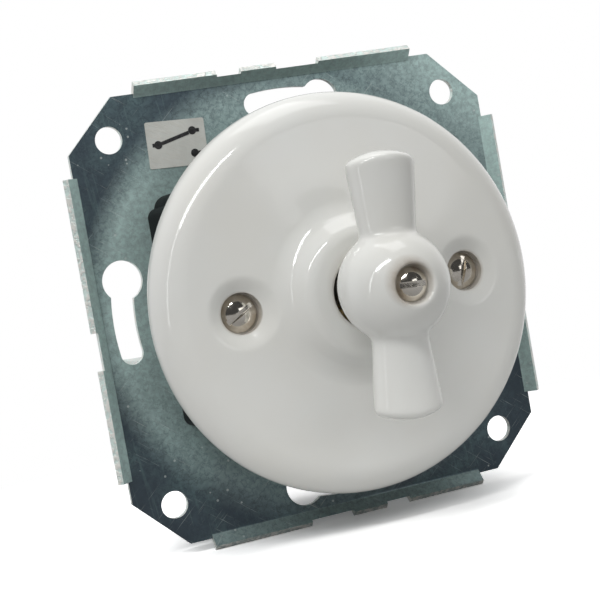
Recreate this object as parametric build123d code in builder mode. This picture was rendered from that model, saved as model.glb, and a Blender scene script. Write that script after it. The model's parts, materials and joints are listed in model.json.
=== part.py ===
from build123d import *
import os
from math import cos, radians, sin, sqrt

# Flush-mounted rotary two-way switch with a porcelain cover and knob, sizes in mm.
# +Z is up the wall and the front faces -Y. The origin is the middle of the plate's back, on the wall.
# Heights are measured from the wall towards the room, so a negative height is inside the wall box.

# Mounting plate of folded sheet
plate_thickness = 1.0
plate_overall = 71.0
plate_corner_cut = 7.7
flange_end_gap = 3.45
flange_length = 2.4
flange_angle = 45.0
flange_bend_radius = 0.5
flange_notch_depth = 1.0
wide_flange_notches = ((-9.6, -5.7), (0.0, 7.0))
narrow_flange_notch = (-5.7, -0.1)
corner_hole_inset = 8.0
corner_hole_diameter = 4.1
keyhole_edge_distance = 5.5
keyhole_diameter = 6.1
keyhole_slot_width = 3.45
keyhole_start_angle = 167.0
keyhole_slot_sweep = 20.7
window_width = 26.0
window_height = 24.0
window_corner_radius = 3.0

# Paper label on the plate
label_width = 9.2
label_height = 7.0
label_thickness = 0.12
label_corner_radius = 0.3
label_tilt = -2.5
label_side_distance = 18.2
label_top_distance = 9.9

# Front housing, between the plate and the cover
front_housing_width = 47.5
front_housing_height = 33.0
front_housing_face_height = 10.0
front_housing_corner_radius = 1.5
front_housing_edge_radius = 0.6
lug_radius = 2.2
lug_side_distance = 3.35
lug_edge_distance = 0.5
wheel_cavity_radius = 8.6
wheel_cavity_roof = 5.3
post_radius = 3.6
post_top = 14.2

# Porcelain cover, a little below the middle of the plate
cover_diameter = 58.8
cover_drop = 0.5
cover_rim_back = 12.6
cover_rim_front = 18.4
cover_rim_radius = 5.2
cover_foot_width = 3.0
cover_foot_round = 0.8
cover_wall = 3.3
boss_top = 24.1
boss_top_radius = 8.9
boss_top_round = 2.3
boss_base_radius = 11.9
boss_base_height = 20.6
boss_base_round = 4.5
boss_hollow_radius = 9.0
boss_hollow_roof = 20.9
boss_opening_radius = 5.3
boss_lip_round = 0.7
glaze_round = 0.4
cover_screw_spacing = 35.0
dish_radius = 4.5
dish_depth = 2.1
screw_seat_height = 17.0
screw_seat_radius = 3.0
cover_screw_hole_radius = 1.8
cover_boss_radius = 5.0

# Screws
thread_radius = 1.45
thread_gap = 0.05
screw_hole_radius = 1.65
cover_screw_head_radius = 2.7
cover_screw_head_edge = 0.5
cover_screw_head_height = 1.4
cover_screw_length = 9.5
cover_screw_slot_angles = (29.5, 73.0)
slot_width = 0.75
slot_depth = 0.8
knob_screw_head_radius = 2.3
knob_screw_head_edge = 0.4
knob_screw_head_height = 1.7
knob_screw_length = 9.5
knob_screw_slot_angle = -3.0

# Knob: a ball hub with two flared wings
knob_centre_height = 32.5
hub_radius = 7.7
neck_radius = 4.4
neck_back = 21.6
socket_roof_rise = 1.2
knob_recess_radius = 2.65
knob_recess_rise = 5.3
knob_recess_round = 0.7
wing_turn = 3.2
wing_root_distance = 5.0
wing_root_width = 7.6
wing_root_depth = 6.2
wing_end_distance = 18.3
wing_end_width = 10.2
wing_end_depth = 7.6
wing_dome_radius = 9.0
wing_edge_round = 0.7

# Spindle
shaft_radius = 3.0
shaft_end_gap = 0.2
shaft_bridge_gap = 0.6
square_across = 4.7
square_gap = 0.06
front_square_start = 20.0
rear_square_end = 5.2
shaft_tapping_depth = 8.0
groove_radius = 2.4
bearing_gap = 0.05
bushing_radius = 4.5
bushing_flange_radius = 6.0
bushing_flange_thickness = 1.0
ring_gap = 0.1
ring_thickness = 0.8
ring_radius = 4.6
ring_mouth = 3.6

# Quarter-turn detent
wheel_radius = 7.5
wheel_thickness = 3.6
wheel_back = 1.4
wheel_notch_radius = 2.4
wheel_notch_depth = 0.7
ball_radius = 1.5
ball_gap = 0.05
detent_slot_width = 3.3
detent_slot_top = 15.0
spring_wire = 0.4
spring_turns = 5
spring_gap = 0.02

# Rear housing in the wall box
rear_housing_width = 38.0
rear_housing_height = 43.0
rear_housing_depth = 22.0
rear_corner_cut = 3.0
spigot_gap = 0.2
chamber_radius = 10.2
chamber_floor_depth = 3.0
shaft_hole_radius = 3.3
rear_cover_thickness = 3.5
housing_screw_spacing_across = 31.0
housing_screw_spacing_up = 28.0
housing_screw_head_radius = 2.6
housing_screw_head_height = 1.8
housing_screw_reach = 7.0
head_sink = 2.0

# Rotor and its bridge
rotor_radius = 8.0
rotor_front_depth = 5.0
rotor_terminal_step = 2.5
rotor_hub_radius = 5.2
rotor_running_gap = 0.2
bridge_radius = 9.0
bridge_width = 4.0
bridge_thickness = 1.5
contact_gap = 0.05

# Terminals and fixed contacts
terminal_width = 6.5
terminal_height = 7.0
terminal_length = 8.0
terminal_hold_down = 1.0
terminal_up = 15.5
traveller_across = 8.5
terminal_bore_radius = 1.6
terminal_bore_length = 6.5
pocket_gap = 0.15
wire_entry_radius = 1.9
wire_entry_flare = 0.8
access_hole_radius = 2.4
terminal_screw_head_radius = 2.1
terminal_screw_head_height = 1.8
terminal_screw_stand_off = 0.3
strip_thickness = 0.8
strip_bend = 0.9
common_strip_width = 5.0
common_strip_standoff = 0.1
common_strip_tail = 2.2
contact_button_radius = 1.2
traveller_strip_width = 3.0
blade_tip = 2.0
strip_pocket_length = 3.2

# Spreader claws
claw_screw_across = 21.5
claw_screw_up = 9.8
claw_screw_head_radius = 2.3
claw_screw_head_height = 2.0
claw_screw_length = 18.0
claw_notch_width = 5.8
nut_depth = 15.0
nut_width = 4.4
nut_height = 4.6
nut_thickness = 3.0
trunnion_radius = 1.1
trunnion_gap = 0.08
claw_sheet = 1.0
claw_nut_gap = 0.2
claw_nose_radius = 1.8
claw_web_inside = 3.4
claw_length = 9.5
claw_tip_lift = 0.9
claw_tooth_pitch = 1.75
claw_tooth_depth = 1.0

# Places that follow from the sizes above
flange_run = flange_length * cos(radians(flange_angle))
flange_rise = flange_length * sin(radians(flange_angle))
flat_half = plate_overall / 2 - flange_run
flange_width = 2 * (flat_half - plate_corner_cut - flange_end_gap)
corner_hole_spacing = plate_overall - 2 * corner_hole_inset
wheel_front = wheel_back + wheel_thickness
wheel_middle = (wheel_back + wheel_front) / 2
box_screw_radius = plate_overall / 2 - keyhole_edge_distance
label_across = label_side_distance - plate_overall / 2
label_up = plate_overall / 2 - label_top_distance
lug_across = front_housing_width / 2 - lug_side_distance
lug_up = front_housing_height / 2 - lug_edge_distance
post_across = cover_screw_spacing / 2
socket_half = square_across / 2 + square_gap
socket_roof = knob_centre_height + socket_roof_rise
shaft_front = socket_roof - shaft_end_gap
knob_recess_floor = knob_centre_height + knob_recess_rise
terminal_rear_depth = rear_housing_depth - terminal_hold_down
terminal_front_depth = terminal_rear_depth - terminal_length
terminal_middle_depth = terminal_rear_depth - terminal_length / 2
rotor_rear_depth = terminal_front_depth + rotor_terminal_step
bridge_front_depth = rotor_rear_depth - bridge_thickness
bridge_middle_depth = rotor_rear_depth - bridge_thickness / 2
shaft_rear_depth = bridge_front_depth - shaft_bridge_gap
strip_half = strip_thickness / 2
terminal_inner_up = terminal_up - terminal_height / 2
terminal_outer_up = terminal_up + terminal_height / 2
rear_cover_back = rear_housing_depth + rear_cover_thickness
ball_centre_up = wheel_radius + ball_gap + ball_radius


def facing(height, across=0.0, up=0.0):
    """A plane parallel to the wall that faces the room, at a height above the wall."""
    return Plane(origin=(across, -height, up), x_dir=(1, 0, 0), z_dir=(0, -1, 0))


def turning(across=0.0, up=0.0):
    """A plane for turned profiles: its first axis is the radius and its second the height."""
    return Plane(origin=(across, 0, up), x_dir=(1, 0, 0), z_dir=(0, 0, -1))


def finish(piece, name):
    piece.label = name
    export_step(piece, f"parts/{name}.step")


def bent_strip(plane, points, width):
    """A strip of contact sheet bent along the points of a plane."""
    with BuildPart() as strip:
        with BuildLine(plane) as route:
            FilletPolyline(*points, radius=strip_bend)
        with BuildSketch(Plane(origin=route.line @ 0, x_dir=plane.z_dir, z_dir=route.line % 0)):
            Rectangle(width, strip_thickness)
        sweep(path=route.wires()[0])
    return strip.part


def slotted_screw(plane, head_radius, head_edge, head_height, length, slot_angle):
    """A domed slotted screw whose head sits on the plane, with its shank behind it."""
    dome = head_height - head_edge
    with BuildPart() as screw:
        with BuildSketch(plane):
            Circle(head_radius)
        extrude(amount=head_edge)
        cap_radius = (head_radius**2 + dome**2) / (2 * dome)
        with BuildSketch(plane.offset(head_edge)):
            Circle(head_radius)
        extrude(amount=dome)
        with Locations(plane.offset(head_height - cap_radius)):
            Sphere(cap_radius, mode=Mode.INTERSECT)
        with BuildSketch(plane.offset(head_height)):
            Rectangle(4 * head_radius, slot_width, rotation=slot_angle)
        extrude(amount=-slot_depth, mode=Mode.SUBTRACT)
        with BuildSketch(plane):
            Circle(thread_radius)
        extrude(amount=-length)
    return screw.part


os.makedirs("parts", exist_ok=True)


# Mounting plate

with BuildSketch() as keyhole:
    with Locations(Vector(box_screw_radius, 0).rotate(Axis.Z, keyhole_start_angle)):
        Circle(keyhole_diameter / 2)
    SlotArc(
        arc=CenterArc((0, 0), box_screw_radius, keyhole_start_angle, keyhole_slot_sweep),
        height=keyhole_slot_width,
    )

notch_across = plate_overall / 2 - flange_notch_depth / 2
with BuildSketch() as flange_notches:
    for start, end in wide_flange_notches:
        with Locations(((start + end) / 2, notch_across)):
            Rectangle(end - start, flange_notch_depth)
    with Locations((-notch_across, sum(narrow_flange_notch) / 2)):
        Rectangle(flange_notch_depth, narrow_flange_notch[1] - narrow_flange_notch[0])

bend_shift = plate_thickness * (1 / cos(radians(flange_angle)) - 1) / sin(radians(flange_angle))
lip_across = plate_thickness * sin(radians(flange_angle))
lip_rise = plate_thickness * cos(radians(flange_angle))
with BuildPart() as flange:
    with BuildSketch(turning()):
        with BuildLine():
            FilletPolyline(
                (window_width / 2 + window_corner_radius, 0),
                (flat_half, 0),
                (flat_half + flange_run, flange_rise),
                (flat_half + flange_run - lip_across, flange_rise + lip_rise),
                (flat_half - bend_shift, plate_thickness),
                (window_width / 2 + window_corner_radius, plate_thickness),
                radius=(0, flange_bend_radius + plate_thickness, 0, 0, flange_bend_radius, 0),
                close=True,
            )
        make_face()
    extrude(amount=flange_width / 2, both=True)

with BuildPart() as mounting_plate:
    with BuildSketch(facing(0)) as sheet:
        Rectangle(2 * flat_half, 2 * flat_half)
        chamfer(sheet.vertices(), length=plate_corner_cut)
    extrude(amount=plate_thickness)
    for quarter in range(4):
        add(flange.part.rotate(Axis.Y, 90 * quarter))
    with BuildSketch(facing(0)):
        with PolarLocations(0, 4):
            add(keyhole.sketch)
        with GridLocations(corner_hole_spacing, corner_hole_spacing, 2, 2):
            Circle(corner_hole_diameter / 2)
        with GridLocations(housing_screw_spacing_across, housing_screw_spacing_up, 2, 2):
            Circle(screw_hole_radius)
        with Locations((claw_screw_across, claw_screw_up), (-claw_screw_across, -claw_screw_up)):
            Circle(screw_hole_radius)
        RectangleRounded(window_width, window_height, window_corner_radius)
        with PolarLocations(0, 2):
            add(flange_notches.sketch)
    extrude(amount=plate_overall, both=True, mode=Mode.SUBTRACT)
finish(mounting_plate.part, "mounting_plate")

with BuildPart() as label:
    with BuildSketch(facing(plate_thickness, label_across, label_up)):
        RectangleRounded(label_width, label_height, label_corner_radius, rotation=label_tilt)
    extrude(amount=label_thickness)
finish(label.part, "label")


# Front housing with its bearing and detent

with BuildPart() as front_housing:
    with BuildSketch(facing(plate_thickness)):
        RectangleRounded(front_housing_width, front_housing_height, front_housing_corner_radius)
        with Locations((-lug_across, lug_up), (lug_across, -lug_up)):
            Circle(lug_radius)
    extrude(amount=front_housing_face_height - plate_thickness)
    fillet(front_housing.faces().sort_by(Axis.Y)[0].edges(), front_housing_edge_radius)
    with BuildSketch(facing(front_housing_face_height, 0, -cover_drop)):
        with GridLocations(cover_screw_spacing, 0, 2, 1):
            Circle(post_radius)
    extrude(amount=post_top - front_housing_face_height)
    with BuildSketch(facing(plate_thickness)):
        Circle(wheel_cavity_radius)
        with Locations((0, detent_slot_top / 2)):
            Rectangle(detent_slot_width, detent_slot_top)
    extrude(amount=wheel_cavity_roof - plate_thickness, mode=Mode.SUBTRACT)
    with BuildSketch(facing(plate_thickness)):
        Circle(bushing_radius)
        notch_length = front_housing_width / 2 - claw_screw_across + claw_notch_width / 2
        for side in (1, -1):
            with Locations((side * claw_screw_across, side * claw_screw_up)):
                Circle(claw_notch_width / 2)
                Rectangle(
                    notch_length,
                    claw_notch_width,
                    align=(Align.MIN if side > 0 else Align.MAX, Align.CENTER),
                )
    extrude(amount=front_housing_face_height, mode=Mode.SUBTRACT)
    with BuildSketch(facing(plate_thickness)):
        with GridLocations(housing_screw_spacing_across, housing_screw_spacing_up, 2, 2):
            Circle(thread_radius + thread_gap)
    extrude(amount=housing_screw_reach, mode=Mode.SUBTRACT)
    with BuildSketch(facing(post_top, 0, -cover_drop)):
        with GridLocations(cover_screw_spacing, 0, 2, 1):
            Circle(thread_radius + thread_gap)
    extrude(amount=-cover_screw_length, mode=Mode.SUBTRACT)
finish(front_housing.part, "front_housing")

with BuildPart() as bushing:
    with BuildSketch(facing(wheel_cavity_roof)):
        Circle(bushing_radius)
    extrude(amount=front_housing_face_height - wheel_cavity_roof)
    with BuildSketch(facing(front_housing_face_height)):
        Circle(bushing_flange_radius)
    extrude(amount=bushing_flange_thickness)
    with BuildSketch(facing(0)):
        Circle(shaft_radius + bearing_gap)
    extrude(amount=post_top, mode=Mode.SUBTRACT)
finish(bushing.part, "bushing")

ring_back = front_housing_face_height + bushing_flange_thickness + ring_gap
with BuildPart() as retaining_ring:
    with BuildSketch(facing(ring_back)):
        Circle(ring_radius)
        Circle(groove_radius, mode=Mode.SUBTRACT)
        with Locations((0, -ring_radius)):
            Rectangle(ring_mouth, 2 * ring_radius, mode=Mode.SUBTRACT)
    extrude(amount=ring_thickness)
finish(retaining_ring.part, "retaining_ring")

with BuildPart() as detent_wheel:
    with BuildSketch(facing(wheel_back)):
        Circle(wheel_radius)
        with PolarLocations(wheel_radius + wheel_notch_radius - wheel_notch_depth, 4):
            Circle(wheel_notch_radius, mode=Mode.SUBTRACT)
        Rectangle(2 * socket_half, 2 * socket_half, mode=Mode.SUBTRACT)
    extrude(amount=wheel_thickness)
finish(detent_wheel.part, "detent_wheel")

with BuildPart() as detent_ball:
    with Locations((0, -wheel_middle, ball_centre_up)):
        Sphere(ball_radius)
finish(detent_ball.part, "detent_ball")

spring_foot = ball_centre_up + ball_radius + spring_wire / 2 + spring_gap
spring_height = detent_slot_top - spring_wire / 2 - spring_gap - spring_foot
coil_radius = ball_radius - spring_wire / 2
with BuildPart() as detent_spring:
    with BuildLine() as coil:
        Helix(spring_height / spring_turns, spring_height, coil_radius, (0, -wheel_middle, spring_foot))
    with BuildSketch(Plane(origin=coil.line @ 0, z_dir=coil.line % 0)):
        Circle(spring_wire / 2)
    sweep(path=coil.wires()[0], is_frenet=True)
finish(detent_spring.part, "detent_spring")


# Spindle

groove_back = ring_back - ring_gap / 2
with BuildPart() as shaft:
    with BuildSketch(facing(-shaft_rear_depth)):
        Circle(shaft_radius)
    extrude(amount=shaft_rear_depth + shaft_front)
    for start, end in ((-shaft_rear_depth, rear_square_end), (front_square_start, shaft_front)):
        with BuildSketch(facing(start)):
            Circle(2 * shaft_radius)
            Rectangle(square_across, square_across, mode=Mode.SUBTRACT)
        extrude(amount=end - start, mode=Mode.SUBTRACT)
    with BuildSketch(facing(groove_back)):
        Circle(2 * shaft_radius)
        Circle(groove_radius, mode=Mode.SUBTRACT)
    extrude(amount=ring_thickness + ring_gap, mode=Mode.SUBTRACT)
    with BuildSketch(facing(shaft_front)):
        Circle(thread_radius + thread_gap)
    extrude(amount=-shaft_tapping_depth, mode=Mode.SUBTRACT)
finish(shaft.part, "shaft")


# Porcelain cover and its screws

cover_radius = cover_diameter / 2
hollow_radius = cover_radius - cover_foot_width
hollow_rim_roof = cover_rim_front - cover_wall
hollow_base_roof = boss_base_height - cover_wall
dish_sphere = (dish_radius**2 + dish_depth**2) / (2 * dish_depth)
face_slope = (boss_base_height - cover_rim_front) / (cover_radius - boss_base_radius)
dish_rim_height = cover_rim_front + face_slope * (cover_radius - post_across)

with BuildPart() as cover:
    with BuildSketch(turning()):
        with BuildLine():
            FilletPolyline(
                (boss_opening_radius, boss_top),
                (boss_top_radius, boss_top),
                (boss_base_radius, boss_base_height),
                (cover_radius, cover_rim_front),
                (cover_radius, cover_rim_back),
                (hollow_radius, cover_rim_back),
                (hollow_radius - cover_foot_round, hollow_rim_roof),
                (boss_base_radius, hollow_base_roof),
                (boss_hollow_radius, boss_hollow_roof),
                (boss_opening_radius, boss_hollow_roof),
                radius=(
                    boss_lip_round,
                    boss_top_round,
                    boss_base_round,
                    cover_rim_radius,
                    cover_foot_round,
                    cover_foot_round,
                    cover_foot_round,
                    cover_foot_round,
                    cover_foot_round,
                    glaze_round,
                ),
                close=True,
            )
        make_face()
    revolve(axis=Axis.Y)
    with BuildSketch(facing(post_top)):
        with GridLocations(cover_screw_spacing, 0, 2, 1):
            Circle(cover_boss_radius)
    extrude(amount=hollow_base_roof - post_top)
    for side in (1, -1):
        with Locations((side * post_across, -(dish_rim_height + dish_sphere - dish_depth), 0)):
            Sphere(dish_sphere, mode=Mode.SUBTRACT)
        with BuildSketch(facing(screw_seat_height, side * post_across)):
            Circle(screw_seat_radius)
        extrude(amount=dish_depth, mode=Mode.SUBTRACT)
        with BuildSketch(facing(0, side * post_across)):
            Circle(cover_screw_hole_radius)
        extrude(amount=boss_top, mode=Mode.SUBTRACT)
finish(Pos(0, 0, -cover_drop) * cover.part, "cover")

with BuildPart() as cover_screws:
    for side, slot_angle in zip((-1, 1), cover_screw_slot_angles):
        add(
            slotted_screw(
                facing(screw_seat_height, side * post_across, -cover_drop),
                cover_screw_head_radius,
                cover_screw_head_edge,
                cover_screw_head_height,
                cover_screw_length,
                slot_angle,
            )
        )
finish(cover_screws.part, "cover_screws")


# Knob

knob_middle = Vector(0, -knob_centre_height, 0)
wing_way = Vector(sin(radians(wing_turn)), 0, cos(radians(wing_turn)))
wing_across = Vector(cos(radians(wing_turn)), 0, -sin(radians(wing_turn)))


def wing_plane(distance, side):
    return Plane(
        origin=knob_middle + wing_way * (side * distance),
        x_dir=wing_across,
        z_dir=wing_way * side,
    )


def wing(side):
    """One flared wing of oval section with a domed end."""
    with BuildPart() as paddle:
        with BuildSketch(wing_plane(wing_root_distance, side)):
            Ellipse(wing_root_width / 2, wing_root_depth / 2)
        with BuildSketch(wing_plane(wing_end_distance, side)):
            Ellipse(wing_end_width / 2, wing_end_depth / 2)
        loft()
        with Locations(wing_plane(wing_end_distance - wing_dome_radius, side)):
            Sphere(wing_dome_radius, mode=Mode.INTERSECT)
        far_edges = paddle.edges().filter_by(
            lambda edge: (edge.center() - knob_middle).dot(wing_way) * side > wing_end_distance / 2
        )
        fillet(far_edges.filter_by(GeomType.LINE, reverse=True), wing_edge_round)
    return paddle.part


neck_front = knob_centre_height - sqrt(hub_radius**2 - neck_radius**2)
recess_mouth = knob_centre_height + sqrt(hub_radius**2 - knob_recess_radius**2)
with BuildPart() as knob:
    with BuildSketch(turning()):
        with BuildLine():
            Polyline((0, neck_back), (neck_radius, neck_back), (neck_radius, neck_front))
            ThreePointArc(
                (neck_radius, neck_front),
                (hub_radius, knob_centre_height),
                (knob_recess_radius, recess_mouth),
            )
            Polyline((knob_recess_radius, recess_mouth), (knob_recess_radius, knob_recess_floor))
            Polyline((knob_recess_radius, knob_recess_floor), (0, knob_recess_floor), (0, neck_back))
        make_face()
    revolve(axis=Axis.Y)
    mouth = knob.edges().filter_by(GeomType.CIRCLE).sort_by(Axis.Y)[0]
    fillet(mouth, knob_recess_round)
    for side in (1, -1):
        add(wing(side))
    with BuildSketch(facing(neck_back)):
        Rectangle(2 * socket_half, 2 * socket_half)
    extrude(amount=socket_roof - neck_back, mode=Mode.SUBTRACT)
    with BuildSketch(facing(neck_back)):
        Circle(screw_hole_radius)
    extrude(amount=knob_recess_floor - neck_back, mode=Mode.SUBTRACT)
finish(knob.part, "knob")

knob_screw = slotted_screw(
    facing(knob_recess_floor),
    knob_screw_head_radius,
    knob_screw_head_edge,
    knob_screw_head_height,
    knob_screw_length,
    knob_screw_slot_angle,
)
finish(knob_screw, "knob_screw")


# Rear housing

terminal_places = {
    "common_terminal": (0, 1),
    "first_traveller_terminal": (traveller_across, -1),
    "second_traveller_terminal": (-traveller_across, -1),
}
strip_seat_depth = terminal_front_depth - strip_thickness
pocket_width = terminal_width + 2 * pocket_gap
blade_across = bridge_radius + contact_gap + strip_half
foot_up = -(terminal_inner_up - strip_half)
traveller_left = traveller_across - pocket_width / 2
traveller_right = traveller_across + pocket_width / 2
pocket_end_up = terminal_outer_up + pocket_gap

# Each pocket's left, right, low and high sides and the depth of its floor, all open at the back
pockets = (
    (-pocket_width / 2, pocket_width / 2, rotor_radius, pocket_end_up, strip_seat_depth),
    (traveller_left, traveller_right, -pocket_end_up, -terminal_inner_up, terminal_front_depth),
    (-traveller_right, -traveller_left, -pocket_end_up, -terminal_inner_up, terminal_front_depth),
    (
        traveller_left,
        blade_across + strip_thickness,
        -terminal_inner_up,
        blade_tip + strip_thickness,
        strip_seat_depth,
    ),
    (
        -traveller_right,
        strip_pocket_length - traveller_left,
        -terminal_inner_up,
        -rotor_radius,
        strip_seat_depth,
    ),
)
with BuildPart() as rear_housing:
    with BuildSketch(facing(-rear_housing_depth)) as rear_outline:
        Rectangle(rear_housing_width, rear_housing_height)
        chamfer(rear_outline.vertices(), length=rear_corner_cut)
    extrude(amount=rear_housing_depth)
    with BuildSketch(facing(0)):
        RectangleRounded(
            window_width - 2 * spigot_gap,
            window_height - 2 * spigot_gap,
            window_corner_radius - spigot_gap,
        )
    extrude(amount=plate_thickness)
    with BuildSketch(facing(-rear_housing_depth)):
        Circle(chamber_radius)
    extrude(amount=rear_housing_depth - chamber_floor_depth, mode=Mode.SUBTRACT)
    with BuildSketch(facing(-rear_housing_depth)):
        Circle(shaft_hole_radius)
        with GridLocations(housing_screw_spacing_across, housing_screw_spacing_up, 2, 2):
            Circle(screw_hole_radius)
    extrude(amount=rear_housing_depth + plate_thickness, mode=Mode.SUBTRACT)
    for left, right, low, high, floor_depth in pockets:
        with BuildSketch(facing(-rear_housing_depth, (left + right) / 2, (low + high) / 2)):
            Rectangle(right - left, high - low)
        extrude(amount=rear_housing_depth - floor_depth, mode=Mode.SUBTRACT)
    for across, side in terminal_places.values():
        with BuildSketch(
            Plane(
                origin=(across, terminal_middle_depth, side * terminal_up),
                z_dir=(0, 0, side),
            )
        ):
            Circle(access_hole_radius)
        extrude(amount=rear_housing_height / 2, mode=Mode.SUBTRACT)
finish(rear_housing.part, "rear_housing")

with BuildPart() as rear_cover:
    with BuildSketch(facing(-rear_cover_back)) as cover_outline:
        Rectangle(rear_housing_width, rear_housing_height)
        chamfer(cover_outline.vertices(), length=rear_corner_cut)
    extrude(amount=rear_cover_thickness)
    for across, side in terminal_places.values():
        with BuildSketch(facing(-rear_housing_depth, across, side * terminal_up)):
            Rectangle(terminal_width - strip_thickness, terminal_height - strip_thickness)
        extrude(amount=terminal_hold_down)
    with BuildSketch(facing(-rear_cover_back)):
        with GridLocations(housing_screw_spacing_across, housing_screw_spacing_up, 2, 2):
            Circle(screw_hole_radius)
        for across, side in terminal_places.values():
            with Locations((across, side * terminal_up)):
                Circle(wire_entry_radius)
    extrude(amount=rear_cover_back - terminal_rear_depth, mode=Mode.SUBTRACT)
    with BuildSketch(facing(-rear_cover_back)):
        with GridLocations(housing_screw_spacing_across, housing_screw_spacing_up, 2, 2):
            Circle(housing_screw_head_radius + thread_gap)
    extrude(amount=head_sink, mode=Mode.SUBTRACT)
    back_face = rear_cover.faces().sort_by(Axis.Y)[-1]
    entries = back_face.edges().filter_by(
        lambda edge: edge.geom_type == GeomType.CIRCLE and abs(edge.radius - wire_entry_radius) < thread_gap
    )
    chamfer(entries, length=wire_entry_flare)
finish(rear_cover.part, "rear_cover")

screw_seat_depth = rear_cover_back - head_sink
with BuildPart() as housing_screws:
    with BuildSketch(facing(-screw_seat_depth)):
        with GridLocations(housing_screw_spacing_across, housing_screw_spacing_up, 2, 2):
            Circle(housing_screw_head_radius)
    extrude(amount=-housing_screw_head_height)
    with BuildSketch(facing(-screw_seat_depth - housing_screw_head_height)):
        with GridLocations(housing_screw_spacing_across, housing_screw_spacing_up, 2, 2):
            Rectangle(2 * housing_screw_head_radius, slot_width)
    extrude(amount=slot_depth, mode=Mode.SUBTRACT)
    with BuildSketch(facing(-screw_seat_depth)):
        with GridLocations(housing_screw_spacing_across, housing_screw_spacing_up, 2, 2):
            Circle(thread_radius)
    extrude(amount=screw_seat_depth + housing_screw_reach)
finish(housing_screws.part, "housing_screws")


# Rotor and moving contact

with BuildPart() as rotor:
    with BuildSketch(facing(-rotor_rear_depth)):
        Circle(rotor_radius)
    extrude(amount=rotor_rear_depth - rotor_front_depth)
    with BuildSketch(facing(-rotor_front_depth)):
        Circle(rotor_hub_radius)
    extrude(amount=rotor_front_depth - chamber_floor_depth - rotor_running_gap)
    with BuildSketch(facing(-rotor_rear_depth)):
        Rectangle(2 * rotor_radius, bridge_width + thread_gap)
    extrude(amount=bridge_thickness, mode=Mode.SUBTRACT)
    with BuildSketch(facing(-shaft_rear_depth - thread_gap)):
        Rectangle(2 * socket_half, 2 * socket_half)
    extrude(amount=shaft_rear_depth, mode=Mode.SUBTRACT)
finish(rotor.part, "rotor")

with BuildPart() as contact_bridge:
    with BuildSketch(facing(-rotor_rear_depth)):
        Circle(bridge_radius)
        Rectangle(2 * bridge_radius, bridge_width, mode=Mode.INTERSECT)
    extrude(amount=bridge_thickness)
finish(contact_bridge.part, "contact_bridge")


# Fixed contacts

strip_line_depth = rotor_rear_depth + common_strip_standoff + strip_half
side_plane = Plane(origin=(0, 0, 0), x_dir=(0, 1, 0), z_dir=(1, 0, 0))
with BuildPart() as common_contact:
    add(
        bent_strip(
            side_plane,
            (
                (terminal_front_depth - strip_half, terminal_outer_up - strip_half),
                (terminal_front_depth - strip_half, terminal_inner_up - strip_thickness),
                (strip_line_depth, terminal_inner_up - strip_thickness),
                (strip_line_depth, -common_strip_tail),
            ),
            common_strip_width,
        )
    )
    with BuildSketch(facing(-strip_line_depth)):
        Circle(contact_button_radius)
    extrude(amount=strip_half + common_strip_standoff - contact_gap)
finish(common_contact.part, "common_contact")

contact_plane = facing(-bridge_middle_depth)
first_traveller_contact = bent_strip(
    contact_plane,
    (
        (traveller_across - terminal_width / 2 + strip_half, foot_up),
        (blade_across, foot_up),
        (blade_across, blade_tip),
    ),
    traveller_strip_width,
)
finish(first_traveller_contact, "first_traveller_contact")

second_traveller_contact = bent_strip(
    contact_plane,
    (
        (-traveller_across, foot_up),
        (-traveller_across + terminal_width / 2 + strip_half, foot_up),
        (-traveller_across + terminal_width / 2 + 2 * strip_thickness, -blade_across),
        (blade_tip, -blade_across),
    ),
    traveller_strip_width,
)
finish(second_traveller_contact, "second_traveller_contact")


# Terminals and their screws

def terminal(across, side):
    """A brass pillar terminal, bored for the wire from behind and tapped for its screw."""
    with BuildPart() as block:
        with BuildSketch(facing(-terminal_rear_depth, across, side * terminal_up)):
            Rectangle(terminal_width, terminal_height)
        extrude(amount=terminal_length)
        with BuildSketch(facing(-terminal_rear_depth, across, side * terminal_up)):
            Circle(terminal_bore_radius)
        extrude(amount=terminal_bore_length, mode=Mode.SUBTRACT)
        with BuildSketch(terminal_screw_plane(across, side)):
            Circle(thread_radius + thread_gap)
        extrude(amount=-terminal_height / 2, mode=Mode.SUBTRACT)
    return block.part


def terminal_screw_plane(across, side):
    return Plane(origin=(across, terminal_middle_depth, side * terminal_outer_up), z_dir=(0, 0, side))


for name, (across, side) in terminal_places.items():
    finish(terminal(across, side), name)

with BuildPart() as terminal_screws:
    for across, side in terminal_places.values():
        add(
            slotted_screw(
                terminal_screw_plane(across, side).offset(terminal_screw_stand_off),
                terminal_screw_head_radius,
                terminal_screw_head_height / 2,
                terminal_screw_head_height,
                terminal_height / 2 - terminal_bore_radius,
                0,
            )
        )
finish(terminal_screws.part, "terminal_screws")


# Spreader claws, the right one first and the left one turned from it

def claw_plane(up):
    """A level plane at the nut's trunnions: its first axis points outwards, its second into the box."""
    return Plane(origin=(claw_screw_across, nut_depth, claw_screw_up + up), x_dir=(1, 0, 0))


cheek_inside = nut_height / 2 + claw_nut_gap
cheek_outside = cheek_inside + claw_sheet
web_outside = claw_web_inside + claw_sheet

claw_screw = slotted_screw(
    facing(plate_thickness, claw_screw_across, claw_screw_up),
    claw_screw_head_radius,
    claw_screw_head_height / 2,
    claw_screw_head_height,
    claw_screw_length,
    0,
)

with BuildPart() as claw_nut:
    with BuildSketch(facing(-nut_depth - nut_thickness / 2, claw_screw_across, claw_screw_up)):
        Rectangle(nut_width, nut_height)
    extrude(amount=nut_thickness)
    with BuildSketch(claw_plane(-cheek_outside)):
        Circle(trunnion_radius)
    extrude(amount=2 * cheek_outside)
    with BuildSketch(facing(-nut_depth - nut_thickness, claw_screw_across, claw_screw_up)):
        Circle(thread_radius + thread_gap)
    extrude(amount=2 * nut_thickness, mode=Mode.SUBTRACT)

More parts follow.
